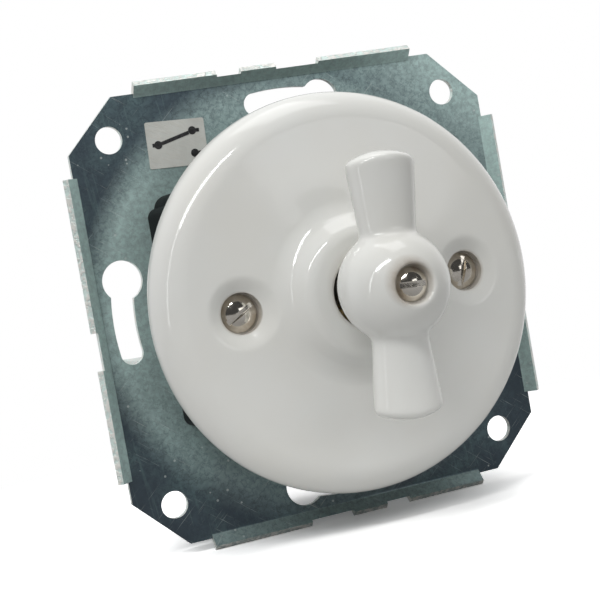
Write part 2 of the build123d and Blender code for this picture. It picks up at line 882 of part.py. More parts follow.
with BuildPart() as claw:
    with BuildSketch(claw_plane(-cheek_outside)):
        with BuildLine():
            ThreePointArc(
                (-claw_nose_radius, 0),
                (-claw_nose_radius * sin(radians(45)), -claw_nose_radius * cos(radians(45))),
                (0, -claw_nose_radius),
            )
            Polyline(
                (0, -claw_nose_radius),
                (web_outside, -claw_nose_radius),
                (web_outside, claw_length - claw_nose_radius),
                (web_outside + claw_tip_lift, claw_length),
                (web_outside + claw_tip_lift - claw_sheet, claw_length + claw_tip_lift / 2),
                (claw_web_inside, claw_length - claw_nose_radius),
                (0, claw_length / 2),
                (-claw_nose_radius, 0),
            )
        make_face()
    extrude(amount=2 * cheek_outside)
    with BuildSketch(claw_plane(-cheek_inside)):
        with Locations((claw_web_inside, 0)):
            Rectangle(2 * claw_length, 3 * claw_length, align=(Align.MAX, Align.CENTER))
    extrude(amount=2 * cheek_inside, mode=Mode.SUBTRACT)
    with BuildSketch(claw_plane(-cheek_outside)):
        Circle(trunnion_radius + trunnion_gap)
    extrude(amount=2 * cheek_outside, mode=Mode.SUBTRACT)
    tooth_plane = Plane(
        origin=(claw_screw_across + web_outside, nut_depth + claw_length + claw_tip_lift / 2, claw_screw_up),
        x_dir=(0, 0, 1),
        z_dir=(1, 0, 0),
    )
    with BuildSketch(tooth_plane):
        with GridLocations(claw_tooth_pitch, 0, 4, 1):
            Rectangle(claw_tooth_depth, claw_tooth_depth, rotation=45)
    extrude(amount=claw_length / 2, both=True, mode=Mode.SUBTRACT)

for name, piece in (("claw_screw", claw_screw), ("claw_nut", claw_nut.part), ("claw", claw.part)):
    finish(piece, f"right_{name}")
    finish(piece.rotate(Axis.Y, 180), f"left_{name}")
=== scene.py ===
import bmesh
import bpy
import json
import math
from mathutils import Matrix, Vector


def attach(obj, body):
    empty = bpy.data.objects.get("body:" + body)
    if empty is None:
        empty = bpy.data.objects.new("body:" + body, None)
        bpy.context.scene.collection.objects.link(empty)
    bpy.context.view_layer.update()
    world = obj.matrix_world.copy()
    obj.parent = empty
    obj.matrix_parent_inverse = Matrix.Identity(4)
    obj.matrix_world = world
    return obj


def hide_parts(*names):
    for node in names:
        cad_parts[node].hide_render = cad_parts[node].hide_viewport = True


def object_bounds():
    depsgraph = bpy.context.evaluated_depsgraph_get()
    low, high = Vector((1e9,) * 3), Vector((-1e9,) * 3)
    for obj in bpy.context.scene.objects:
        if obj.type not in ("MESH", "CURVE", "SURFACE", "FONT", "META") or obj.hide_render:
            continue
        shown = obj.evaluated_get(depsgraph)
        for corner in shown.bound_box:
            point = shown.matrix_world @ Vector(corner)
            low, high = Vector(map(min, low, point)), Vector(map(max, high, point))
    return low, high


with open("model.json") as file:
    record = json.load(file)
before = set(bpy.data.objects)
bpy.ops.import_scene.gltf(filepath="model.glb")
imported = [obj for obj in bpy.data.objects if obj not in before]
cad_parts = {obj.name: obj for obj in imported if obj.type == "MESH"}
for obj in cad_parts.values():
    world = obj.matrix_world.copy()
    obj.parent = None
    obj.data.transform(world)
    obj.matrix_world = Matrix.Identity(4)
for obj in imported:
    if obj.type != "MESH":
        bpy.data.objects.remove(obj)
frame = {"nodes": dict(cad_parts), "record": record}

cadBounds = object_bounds()
nodes = frame["nodes"]
mm = 0.001
scene = bpy.context.scene
print("frame loaded,", len(nodes), "nodes")


# Camera, solved from the plate's corners, holes and keyholes

cameraSpec = {
    "place": Vector((-79.4, -215.75, 9.01)) * mm,
    "right": Vector((0.92422, -0.33991, -0.17398)),
    "up": Vector((0.17850, -0.01819, 0.98377)),
    "sensorWidth": 36.0,
    "lens": 88.87,
    "clip": (0.01, 20.0),
}


def makeCamera(spec):
    data = bpy.data.cameras.new("camera")
    data.sensor_width = spec["sensorWidth"]
    data.lens = spec["lens"]
    data.clip_start, data.clip_end = spec["clip"]
    camera = bpy.data.objects.new("camera", data)
    back = spec["right"].cross(spec["up"]).normalized()
    turn = Matrix((spec["right"], spec["up"], back)).transposed().to_4x4()
    camera.matrix_world = Matrix.Translation(spec["place"]) @ turn
    scene.collection.objects.link(camera)
    scene.camera = camera


makeCamera(cameraSpec)


# Node helpers

def addNode(tree, kind, settings=None, values=None):
    node = tree.nodes.new(kind)
    for name, value in (settings or {}).items():
        setattr(node, name, value)
    for name, value in (values or {}).items():
        node.inputs[name].default_value = value
    return node


def mathNode(tree, operation, first, second=0.0):
    node = addNode(tree, "ShaderNodeMath", {"operation": operation})
    for index, value in enumerate((first, second)):
        if isinstance(value, (int, float)):
            node.inputs[index].default_value = value
        else:
            tree.links.new(value, node.inputs[index])
    return node.outputs[0]


def times(tree, first, second):
    return mathNode(tree, "MULTIPLY", first, second)


def mapRange(tree, value, low, high, toLow=0.0, toHigh=1.0):
    values = {"From Min": low, "From Max": high, "To Min": toLow, "To Max": toHigh}
    node = addNode(tree, "ShaderNodeMapRange", values=values)
    tree.links.new(value, node.inputs["Value"])
    return node.outputs["Result"]


def between(tree, mask, atNone, atFull):  # a value that goes with a mask from 0 to 1
    return mapRange(tree, mask, 0.0, 1.0, atNone, atFull)


def split(tree, vector):  # the outputs X, Y and Z of a vector
    node = addNode(tree, "ShaderNodeSeparateXYZ")
    tree.links.new(vector, node.inputs[0])
    return node.outputs


def combineXYZ(tree, **values):
    node = addNode(tree, "ShaderNodeCombineXYZ")
    for label, value in values.items():
        tree.links.new(value, node.inputs[label])
    return node.outputs[0]


def lengthOf(tree, vector):
    node = addNode(tree, "ShaderNodeVectorMath", {"operation": "LENGTH"})
    tree.links.new(vector, node.inputs[0])
    return node.outputs["Value"]


def mixColour(tree, factor, first, second):
    node = addNode(tree, "ShaderNodeMix", {"data_type": "RGBA"})
    for index, value in ((0, factor), (6, first), (7, second)):
        if isinstance(value, bpy.types.NodeSocket):
            tree.links.new(value, node.inputs[index])
        else:
            node.inputs[index].default_value = value if index == 0 else (*value, 1)
    return node.outputs[2]


def newGroup(name, inputs, output):
    group = bpy.data.node_groups.new(name, "ShaderNodeTree")
    for label, value in inputs.items():
        kind = "NodeSocketVector" if value is None else "NodeSocketFloat"
        socket = group.interface.new_socket(name=label, in_out="INPUT", socket_type=kind)
        if value is not None:
            socket.default_value = value
    group.interface.new_socket(name=output, in_out="OUTPUT", socket_type="NodeSocketFloat")
    return group, group.nodes.new("NodeGroupInput").outputs, group.nodes.new("NodeGroupOutput").inputs


# Shared effects: each puts out a mask or a value that changes over the surface

def makeBlotches():
    group, given, result = newGroup(
        "blotches", {"Vector": None, "Scale": 100.0, "Detail": 4.0, "Low": 0.35, "High": 0.65}, "Value"
    )
    noise = addNode(group, "ShaderNodeTexNoise", values={"Roughness": 0.62})
    for name in ("Vector", "Scale", "Detail"):
        group.links.new(given[name], noise.inputs[name])
    ramp = addNode(group, "ShaderNodeMapRange")
    group.links.new(noise.outputs["Fac"], ramp.inputs["Value"])
    group.links.new(given["Low"], ramp.inputs["From Min"])
    group.links.new(given["High"], ramp.inputs["From Max"])
    group.links.new(ramp.outputs["Result"], result["Value"])
    return group


def makeSpecks():
    group, given, result = newGroup(
        "specks", {"Vector": None, "Scale": 400.0, "Size": 0.12, "Share": 0.5}, "Mask"
    )
    cells = addNode(group, "ShaderNodeTexVoronoi")
    for name in ("Vector", "Scale"):
        group.links.new(given[name], cells.inputs[name])
    near = mathNode(group, "LESS_THAN", cells.outputs["Distance"], given["Size"])
    parts = addNode(group, "ShaderNodeSeparateColor")
    group.links.new(cells.outputs["Color"], parts.inputs[0])
    chosen = mathNode(group, "LESS_THAN", parts.outputs[0], given["Share"])
    group.links.new(times(group, near, chosen), result["Mask"])
    return group


def makeScratches():
    group, given, result = newGroup(
        "scratches", {"Vector": None, "Scale": 60.0, "Angle": 0.4, "Stretch": 24.0, "Amount": 0.3}, "Mask"
    )
    turned = addNode(group, "ShaderNodeVectorRotate", {"rotation_type": "Y_AXIS"})
    group.links.new(given["Vector"], turned.inputs["Vector"])
    group.links.new(given["Angle"], turned.inputs["Angle"])
    parts = split(group, turned.outputs[0])
    drawn = combineXYZ(group, X=times(group, parts[0], given["Stretch"]), Y=parts[1], Z=parts[2])
    noise = addNode(group, "ShaderNodeTexNoise", values={"Detail": 3.0, "Roughness": 0.7})
    group.links.new(drawn, noise.inputs["Vector"])
    group.links.new(given["Scale"], noise.inputs["Scale"])
    sharpness = 12.0
    limit = mathNode(group, "SUBTRACT", 1.0, given["Amount"])
    over = mathNode(group, "SUBTRACT", noise.outputs["Fac"], limit)
    lines = addNode(group, "ShaderNodeClamp")
    group.links.new(times(group, over, sharpness), lines.inputs[0])
    group.links.new(lines.outputs[0], result["Mask"])
    return group


def makeCutEdgeAndLipHighlight():  # sheared edges of sheet that lies across Y, and a painted highlight on lips that look outwards and forwards
    group, _, result = newGroup("cutEdgeAndLipHighlight", {}, "Mask")
    place = addNode(group, "ShaderNodeTexCoord")
    tilt, outwards = 0.3, 0.4
    across = split(group, place.outputs["Normal"])[1]
    side = mathNode(group, "LESS_THAN", mathNode(group, "ABSOLUTE", across), tilt)
    outward = addNode(group, "ShaderNodeVectorMath", {"operation": "DOT_PRODUCT"})
    unit = addNode(group, "ShaderNodeVectorMath", {"operation": "NORMALIZE"})
    group.links.new(place.outputs["Object"], unit.inputs[0])
    group.links.new(unit.outputs[0], outward.inputs[0])
    group.links.new(place.outputs["Normal"], outward.inputs[1])
    looksOut = mathNode(group, "GREATER_THAN", outward.outputs["Value"], outwards)
    looksAhead = mathNode(group, "LESS_THAN", across, -tilt)
    lipHighlight = times(group, looksOut, looksAhead)
    group.links.new(mathNode(group, "MAXIMUM", side, lipHighlight), result["Mask"])
    return group


effects = {
    "blotches": makeBlotches(),
    "specks": makeSpecks(),
    "scratches": makeScratches(),
    "cutEdgeAndLipHighlight": makeCutEdgeAndLipHighlight(),
}


def effect(tree, name, place=None, **values):
    node = addNode(tree, "ShaderNodeGroup", {"node_tree": effects[name]}, values)
    if place is not None:
        tree.links.new(place, node.inputs["Vector"])
    return node.outputs[0]


def newMaterial(name, **values):  # the material, its tree, its shader and its object coordinates
    material = bpy.data.materials.new(name)
    material.use_nodes = True
    tree = material.node_tree
    shader = tree.nodes["Principled BSDF"]
    for label, value in values.items():
        shader.inputs[label].default_value = value
    place = addNode(tree, "ShaderNodeTexCoord").outputs["Object"]
    return material, tree, shader, place


def addBump(tree, shader, height, distance, strength):
    bump = addNode(tree, "ShaderNodeBump", values={"Distance": distance, "Strength": strength})
    tree.links.new(height, bump.inputs["Height"])
    tree.links.new(bump.outputs["Normal"], shader.inputs["Normal"])


# Materials

porcelainLook = {
    "white": (0.735, 0.74, 0.715),
    "warm": (0.715, 0.71, 0.67),
    "tintScale": 45.0,
    "speck": (0.3, 0.24, 0.17),
    "speckScale": 170.0,
    "speckSize": 0.045,
    "speckShare": 0.1,
    "gloss": (0.07, 0.13),
    "glossScale": 300.0,
    "wave": 0.05 * mm,
    "waveScale": 130.0,
    "waveStrength": 0.5,
    "refraction": 1.52,
    # brown for the hollows, partly stain and partly painted shade: the knob's recess, the screw seats and
    # round the boss opening
    "stainAndShade": (0.27, 0.19, 0.11),
    "stainAndShadeScale": 420.0,
    "stainAndShadeThin": 0.45,  # how much of it stays where it is thinnest
    "stainAndShadeRings": [  # place in mm, where it is full, where it ends, strength
        ((-0.5, -38.8, 0.4), 2.5, 3.7, 0.75),
        ((-17.5, -17.4, -0.5), 3.05, 3.5, 0.6),
        ((17.5, -17.4, -0.5), 3.05, 3.5, 0.6),
        ((0.0, -24.0, 0.0), 5.2, 6.6, 0.3),
    ],
}


def makePorcelain(look):
    material, tree, shader, place = newMaterial("glazedPorcelain", IOR=look["refraction"])
    tint = effect(tree, "blotches", place, Scale=look["tintScale"], Detail=3.0, Low=0.3, High=0.7)
    base = mixColour(tree, tint, look["white"], look["warm"])
    flaws = effect(
        tree, "specks", place, Scale=look["speckScale"], Size=look["speckSize"], Share=look["speckShare"]
    )
    colour = mixColour(tree, flaws, base, look["speck"])
    # patchy brown darkening in the hollows, partly stain and partly painted shade
    patchy = effect(tree, "blotches", place, Scale=look["stainAndShadeScale"], Detail=4.0, Low=0.3, High=0.75)
    thinned = between(tree, patchy, look["stainAndShadeThin"], 1.0)
    for point, full, end, strength in look["stainAndShadeRings"]:
        gap = addNode(tree, "ShaderNodeVectorMath", {"operation": "DISTANCE"})
        tree.links.new(place, gap.inputs[0])
        gap.inputs[1].default_value = Vector(point) * mm
        near = mapRange(tree, gap.outputs["Value"], full * mm, end * mm, strength, 0.0)
        colour = mixColour(tree, times(tree, near, thinned), colour, look["stainAndShade"])
    tree.links.new(colour, shader.inputs["Base Color"])
    wave = effect(tree, "blotches", place, Scale=look["waveScale"], Detail=1.0, Low=0.0, High=1.0)
    addBump(tree, shader, wave, look["wave"], look["waveStrength"])
    shine = effect(tree, "blotches", place, Scale=look["glossScale"], Detail=2.0)
    tree.links.new(between(tree, shine, *look["gloss"]), shader.inputs["Roughness"])
    return material


zincLook = {
    "slate": (0.058, 0.074, 0.094),
    "blue": (0.16, 0.235, 0.27),
    "green": (0.27, 0.43, 0.42),
    "height": (-0.03, 0.045),  # slate low down, blue towards the top
    "heightShare": 0.6,
    "spotScale": 34.0,
    "spotShare": 0.5,
    "bloomScale": 75.0,
    "bloomShare": 0.4,
    "pale": (0.66, 0.87, 0.83),  # painted reflection of the cover's white rim around the cover, and painted sheen on the bent flanges
    "paleRing": (0.032, 0.036),
    "paleMottle": 0.82,
    "paleHeight": (-0.03, 0.0),
    "paleShare": (0.25, 0.95),  # below and above that height
    "paleTop": (0.017, 0.027),
    "paleTopShare": 0.55,
    "paleCorner": (0.036, 0.058),  # across plus up: painted sheen towards the upper right
    "cornerShare": 0.8,
    "bentFacing": (0.9, 0.97),
    "bentHeight": (-0.036, -0.015),
    "bentShare": (0.4, 1.0),
    "grain": (0.07, 0.09, 0.11),
    "grainScale": 1150.0,
    "grainShare": (0.35, 0.18),  # in plain and in pale places
    "crystalScale": 800.0,
    "crystalWidth": (0.01, 0.09),
    "crystalShare": (0.55, 0.1),
    "rolledShare": 0.14,
    "spark": (0.8, 0.86, 0.84),
    "scratchShare": 0.4,
    "sparkScale": 1100.0,
    "sparkShare": 0.5,
    # bright bare metal on the sheared edges, and a painted highlight on the lips of the bends
    "edge": (0.78, 0.78, 0.74),
    "edgeScale": 1300.0,
    "edgeLeast": 0.35,
    "burr": 0.15 * mm,
    "burrOnFlat": 0.035,
    "burrStrength": 0.7,
    "gloss": (0.33, 0.4),
    "metal": (0.75, 0.35),  # in plain and in pale places
}


def paintedSheenPlaces(tree, where, spots, look):  # mask of painted reflection and sheen: the cover's rim reflected around it, the bent flanges and the upper right
    reach = lengthOf(tree, combineXYZ(tree, X=where[0], Z=where[2]))
    facing = split(tree, addNode(tree, "ShaderNodeTexCoord").outputs["Normal"])
    ring = mapRange(tree, reach, *look["paleRing"], 1.0, 0.0)
    mottled = between(tree, spots, look["paleMottle"], 1.0)
    upper = mapRange(tree, where[2], *look["paleHeight"], *look["paleShare"])
    lowered = mapRange(tree, where[2], *look["paleTop"], 1.0, look["paleTopShare"])
    around = times(tree, times(tree, ring, mottled), times(tree, upper, lowered))
    turned = mapRange(tree, mathNode(tree, "ABSOLUTE", facing[1]), *look["bentFacing"], 1.0, 0.0)
    bent = times(tree, turned, mapRange(tree, where[2], *look["bentHeight"], *look["bentShare"]))
    sloped = mathNode(tree, "ADD", where[0], where[2])
    corner = mapRange(tree, sloped, *look["paleCorner"], 0.0, look["cornerShare"])
    return mathNode(tree, "MAXIMUM", mathNode(tree, "MAXIMUM", around, bent), corner)


def makeZinc(look):
    material, tree, shader, place = newMaterial("zincPassivated")
    where = split(tree, place)
    spots = effect(tree, "blotches", place, Scale=look["spotScale"], Detail=3.0, Low=0.36, High=0.64)
    raised = mapRange(tree, where[2], *look["height"], 0.0, look["heightShare"])
    clouds = mathNode(tree, "MAXIMUM", times(tree, spots, look["spotShare"]), raised)
    colour = mixColour(tree, clouds, look["slate"], look["blue"])
    bloom = effect(tree, "blotches", place, Scale=look["bloomScale"], Detail=4.0, Low=0.45, High=0.7)
    colour = mixColour(tree, times(tree, bloom, look["bloomShare"]), colour, look["green"])
    # the paler colour with less metal is painted reflection of the cover's rim and painted sheen on the
    # flanges and towards the upper right
    paintedSheen = paintedSheenPlaces(tree, where, spots, look)
    colour = mixColour(tree, paintedSheen, colour, look["pale"])

    drift = effect(tree, "blotches", place, Scale=look["crystalScale"], Detail=5.0, Low=0.3, High=0.7)
    away = mathNode(tree, "ABSOLUTE", mathNode(tree, "SUBTRACT", drift, 0.5))
    crystals = mapRange(tree, away, *look["crystalWidth"], 1.0, 0.0)
    frost = times(tree, crystals, between(tree, paintedSheen, *look["crystalShare"]))
    colour = mixColour(tree, frost, colour, look["grain"])
    grains = effect(tree, "blotches", place, Scale=look["grainScale"], Detail=5.0, Low=0.4, High=0.6)
    speckled = times(tree, grains, between(tree, paintedSheen, *look["grainShare"]))
    colour = mixColour(tree, speckled, colour, look["grain"])
    rolled = effect(tree, "scratches", place, Scale=70.0, Angle=0.1, Stretch=22.0, Amount=0.42)
    colour = mixColour(tree, times(tree, rolled, look["rolledShare"]), colour, look["green"])
    fine = effect(tree, "scratches", place, Scale=110.0, Angle=0.9, Stretch=34.0, Amount=0.36)
    cross = effect(tree, "scratches", place, Scale=90.0, Angle=2.3, Stretch=40.0, Amount=0.35)
    marks = times(tree, mathNode(tree, "MAXIMUM", fine, cross), look["scratchShare"])
    colour = mixColour(tree, marks, colour, look["spark"])
    sparks = effect(tree, "specks", place, Scale=look["sparkScale"], Size=0.2, Share=0.06)
    colour = mixColour(tree, times(tree, sparks, look["sparkShare"]), colour, look["spark"])

    # bright sheared edges, and a painted highlight on the outward and forward lips
    edgeAndLipMask = effect(tree, "cutEdgeAndLipHighlight")
    torn = effect(tree, "blotches", place, Scale=look["edgeScale"], Detail=3.0, Low=0.42, High=0.58)
    bright = times(tree, edgeAndLipMask, between(tree, torn, look["edgeLeast"], 1.0))
    tree.links.new(mixColour(tree, bright, colour, look["edge"]), shader.inputs["Base Color"])
    tree.links.new(between(tree, grains, *look["gloss"]), shader.inputs["Roughness"])
    tree.links.new(between(tree, paintedSheen, *look["metal"]), shader.inputs["Metallic"])
    burrs = times(tree, torn, between(tree, edgeAndLipMask, look["burrOnFlat"], 1.0))
    addBump(tree, shader, burrs, look["burr"], look["burrStrength"])
    return material


metalLooks = {  # by slot: name, bright colour, dull colour, roughness, scale of the clouds
    "nickel": ("nickelPlate", (0.9, 0.86, 0.79), (0.7, 0.64, 0.55), 0.11, 420.0),
    "spindle_steel": ("turnedSteel", (0.5, 0.5, 0.49), (0.3, 0.3, 0.3), 0.3, 300.0),
    "spring_steel": ("springSteel", (0.4, 0.4, 0.42), (0.22, 0.22, 0.24), 0.32, 500.0),
    "brass": ("rolledBrass", (0.72, 0.52, 0.24), (0.5, 0.34, 0.15), 0.28, 260.0),
    "zinc_screw": ("zincScrew", (0.6, 0.62, 0.61), (0.36, 0.39, 0.39), 0.3, 350.0),
}
metalWear = {
    "cloudShare": 0.6,
    "markShare": 0.4,
    "markRough": 0.12,
    "markDepth": 0.01 * mm,
    "polish": (0.75, 1.35),  # times the roughness
}


def makeMetal(name, bright, dull, rough, grain):  # clouds, fine scratches, uneven polish
    material, tree, shader, place = newMaterial(name, Metallic=1.0)
    clouds = effect(tree, "blotches", place, Scale=grain, Detail=4.0)
    marks = effect(tree, "scratches", place, Scale=260.0, Angle=0.7, Stretch=18.0, Amount=0.42)
    clouded = mixColour(tree, times(tree, clouds, metalWear["cloudShare"]), bright, dull)
    marked = mixColour(tree, times(tree, marks, metalWear["markShare"]), clouded, dull)
    tree.links.new(marked, shader.inputs["Base Color"])
    uneven = between(tree, clouds, *(rough * share for share in metalWear["polish"]))
    worn = mathNode(tree, "ADD", uneven, times(tree, marks, metalWear["markRough"]))
    tree.links.new(worn, shader.inputs["Roughness"])
    addBump(tree, shader, marks, metalWear["markDepth"], 0.4)
    return material


mouldingLooks = {  # by slot: name, deep colour, pale colour, roughness
    "black_moulding": ("blackMoulding", (0.007, 0.007, 0.008), (0.015, 0.015, 0.016), 0.46),
    "brown_moulding": ("brownMoulding", (0.075, 0.03, 0.016), (0.11, 0.05, 0.03), 0.35),
}
mouldingWear = {
    "cloudShare": 0.5,
    "dust": (0.3, 0.29, 0.27),
    "dustShare": 0.35,
    "pitDepth": 0.02 * mm,
    "polish": (0.85, 1.15),  # times the roughness
    "specular": 0.06,
}


def makeMoulding(name, deep, pale, rough):  # thermoset: flow clouds, fine pits, a little dust
    material, tree, shader, place = newMaterial(name)
    shader.inputs["Specular IOR Level"].default_value = mouldingWear["specular"]
    clouds = effect(tree, "blotches", place, Scale=120.0, Detail=4.0)
    dust = effect(tree, "specks", place, Scale=900.0, Size=0.13, Share=0.06)
    clouded = mixColour(tree, times(tree, clouds, mouldingWear["cloudShare"]), deep, pale)
    dusty = mixColour(tree, times(tree, dust, mouldingWear["dustShare"]), clouded, mouldingWear["dust"])
    tree.links.new(dusty, shader.inputs["Base Color"])
    pits = effect(tree, "blotches", place, Scale=2600.0, Detail=2.0)
    addBump(tree, shader, pits, mouldingWear["pitDepth"], 0.5)
    uneven = between(tree, clouds, *(rough * share for share in mouldingWear["polish"]))
    tree.links.new(uneven, shader.inputs["Roughness"])
    return material


paperLook = {
    "light": (0.66, 0.67, 0.63),
    "dark": (0.58, 0.59, 0.55),
    "fibre": (0.6, 0.58, 0.52),
    "fibreShare": 0.25,
    "fibreHeight": 0.02 * mm,
}


def makePaper(look):
    material, tree, shader, place = newMaterial("paperLabel", Roughness=0.85)
    fibres = effect(tree, "scratches", place, Scale=500.0, Angle=1.1, Stretch=6.0, Amount=0.5)
    clouds = effect(tree, "blotches", place, Scale=300.0, Detail=5.0)
    base = mixColour(tree, clouds, look["light"], look["dark"])
    fibrous = mixColour(tree, times(tree, fibres, look["fibreShare"]), base, look["fibre"])
    tree.links.new(fibrous, shader.inputs["Base Color"])
    addBump(tree, shader, fibres, look["fibreHeight"], 0.5)
    return material


inkColours = (0.012, 0.012, 0.013), (0.04, 0.04, 0.042)


def makeInk(dark, light):
    material, tree, shader, place = newMaterial("printedInk", Roughness=0.6)
    clouds = effect(tree, "blotches", place, Scale=1500.0, Detail=3.0)
    tree.links.new(mixColour(tree, clouds, dark, light), shader.inputs["Base Color"])
    return material


materials = {
    "porcelain": makePorcelain(porcelainLook),
    "zinc_plate": makeZinc(zincLook),
    "paper": makePaper(paperLook),
}
materials.update({slot: makeMetal(*look) for slot, look in metalLooks.items()})
materials.update({slot: makeMoulding(*look) for slot, look in mouldingLooks.items()})
inkMaterial = makeInk(*inkColours)
print("materials made:", len(materials) + 1)


# Carried-over solids: their material, and modifiers that merge, smooth and break the edges

sharpAngle = math.radians(35)
flatAngle = math.radians(0.5)
mergeGap = 1e-6
softenSpec = {  # width of the broken edges in mm
    "mounting_plate": 0.1,
    "front_housing": 0.25,
    "rear_housing": 0.25,
    "rear_cover": 0.25,
    "left_claw": 0.08,
    "right_claw": 0.08,
}


def makeSmoothByAngle():
    group = bpy.data.node_groups.new("smoothByAngle", "GeometryNodeTree")
    group.interface.new_socket(name="Geometry", in_out="INPUT", socket_type="NodeSocketGeometry")
    group.interface.new_socket(name="Geometry", in_out="OUTPUT", socket_type="NodeSocketGeometry")
    start, end = group.nodes.new("NodeGroupInput"), group.nodes.new("NodeGroupOutput")
    faces = addNode(group, "GeometryNodeSetShadeSmooth", {"domain": "FACE"})
    edges = addNode(group, "GeometryNodeSetShadeSmooth", {"domain": "EDGE"})
    angle = addNode(group, "GeometryNodeInputMeshEdgeAngle")
    gentle = addNode(group, "FunctionNodeCompare", {"operation": "LESS_THAN"}, {1: sharpAngle})
    group.links.new(angle.outputs[0], gentle.inputs[0])
    group.links.new(start.outputs[0], faces.inputs[0])
    group.links.new(faces.outputs[0], edges.inputs[0])
    group.links.new(gentle.outputs[0], edges.inputs["Shade Smooth"])
    group.links.new(edges.outputs[0], end.inputs[0])
    return group


smoothByAngle = makeSmoothByAngle()


def addSmoothing(piece):
    piece.modifiers.new("smoothByAngle", "NODES").node_group = smoothByAngle


def addEvenNormals(piece):
    even = piece.modifiers.new("evenNormals", "WEIGHTED_NORMAL")
    even.weight = 100
    even.keep_sharp = True


def addEdgeBreak(piece, width):
    broken = piece.modifiers.new("brokenEdges", "BEVEL")
    broken.limit_method = "ANGLE"
    broken.angle_limit = sharpAngle
    broken.width = width * mm
    broken.segments = 2


for entry in frame["record"]["subparts"]:
    piece = nodes[entry["node"]]
    piece.data.materials.clear()
    piece.data.materials.append(materials[entry["material_slot"]])
    merged = piece.modifiers.new("merged", "WELD")
    merged.merge_threshold = mergeGap
    if entry["node"] in softenSpec:
        flat = piece.modifiers.new("flatFaces", "DECIMATE")
        flat.decimate_type = "DISSOLVE"
        flat.angle_limit = flatAngle
        addEdgeBreak(piece, softenSpec[entry["node"]])
    addSmoothing(piece)
    if entry["node"] in softenSpec:
        addEvenNormals(piece)
print("carried-over solids finished")


# Mesh helpers

weldGap = 1e-7


def newObject(mesh, name):
    data = bpy.data.meshes.new(name)
    mesh.to_mesh(data)
    mesh.free()
    made = bpy.data.objects.new(name, data)
    scene.collection.objects.link(made)
    return made


def addPiece(mesh, name, body, slot, replaced=None, material=None):
    bmesh.ops.remove_doubles(mesh, verts=mesh.verts, dist=weldGap)
    bmesh.ops.recalc_face_normals(mesh, faces=mesh.faces)
    piece = newObject(mesh, name)
    piece.data.materials.append(material or materials[slot])
    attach(piece, body)
    if replaced:
        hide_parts(replaced)
    return piece


def applyModifiers(piece):
    bpy.context.view_layer.update()
    ready = piece.evaluated_get(bpy.context.evaluated_depsgraph_get())
    old, piece.data = piece.data, bpy.data.meshes.new_from_object(ready)
    piece.modifiers.clear()
    bpy.data.meshes.remove(old)


def combine(piece, mesh, operation):  # join or cut a second shape, given as a bmesh
    bmesh.ops.recalc_face_normals(mesh, faces=mesh.faces)
    tool = newObject(mesh, "tool")
    data = tool.data
    step = piece.modifiers.new("combine", "BOOLEAN")
    step.object = tool
    step.operation = operation
    step.solver = "EXACT"
    applyModifiers(piece)
    bpy.data.objects.remove(tool)
    bpy.data.meshes.remove(data)


def smoothShade(piece, angle):
    piece.data.shade_smooth()
    piece.data.set_sharp_from_angle(angle=math.radians(angle))


def spinRound(mesh, geometry, steps):
    bmesh.ops.spin(
        mesh, geom=geometry, cent=(0, 0, 0), axis=(0, 1, 0), angle=math.tau, steps=steps, use_merge=True
    )
    bmesh.ops.remove_doubles(mesh, verts=mesh.verts, dist=weldGap)


def turnedBar(mesh, radius, back, front, across, segments=64):  # a bar along Y, by its two heights
    made = bmesh.ops.create_cone(
        mesh,
        cap_ends=True,
        segments=segments,
        radius1=radius * mm,
        radius2=radius * mm,
        depth=(front - back) * mm,
    )
    bmesh.ops.rotate(mesh, verts=made["verts"], matrix=Matrix.Rotation(math.pi / 2, 3, "X"))
    bmesh.ops.translate(mesh, verts=made["verts"], vec=Vector((across, -(front + back) / 2, 0)) * mm)


def drawLine(mesh, start, points, ends=()):  # edges from a vertex on through points of a section, in mm
    chain = [start] + [mesh.verts.new(Vector((radius, -height, 0)) * mm) for radius, height in points]
    chain += ends
    for pair in zip(chain, chain[1:]):
        mesh.edges.new(pair)


# Porcelain cover, in mm: corners of its section as (radius, height, rounding, segments)

coverSpec = {
    "front": [(5.3, 24.1, 0.7, 6), (8.9, 24.1, 2.3, 14), (11.9, 20.6, 4.5, 14), (29.4, 18.4, 5.2, 24)],
    "back": [(29.4, 12.6, 0.8, 6), (26.4, 12.6, 0.8, 6), (25.6, 15.1, 0.8, 4), (11.9, 17.3, 0.8, 4)],
    "boss": [(9.0, 20.9, 0.4, 2), (5.3, 20.9, 0.4, 2)],
    "drop": 0.5,
    "steps": 288,
    "rings": 34,
    "screwAcross": 17.5,
    "dishRadius": 5.3,
    "dishDepth": 2.2,
    "dishPower": 1.6,
    "seat": (2.95, 17.0),  # radius, height of its floor
    "hole": 1.8,
    "innerBoss": (5.0, 14.2, 17.0),  # radius, back, front
    "faceHeight": 17.8,  # only the front face lies above it
    "spokeLength": 8.0,  # longer edges of the front face are cut into rings
    "cutterPast": (6.0, 3.0),  # how far the cutters of seat and hole reach past the surface
    "seatSegments": 96,
    "sharpAngle": 45,
}


def roundRing(mesh, corners, index):  # round one ring edge of a turned shape to the wanted radius
    radius, height, rounding, segments = corners[index]
    here = Vector((radius, height))
    before = Vector(corners[index - 1][:2]) - here
    after = Vector(corners[(index + 1) % len(corners)][:2]) - here
    reach = rounding / math.tan(before.angle(after) / 2)
    near = 1e-3
    ring = [
        edge
        for edge in mesh.edges
        if all(
            abs(math.hypot(v.co.x, v.co.z) / mm - radius) < near and abs(v.co.y / mm + height) < near
            for v in edge.verts
        )
    ]
    bmesh.ops.bevel(
        mesh, geom=ring, offset=reach * mm, affect="EDGES", segments=segments, profile=0.5, material=-1
    )


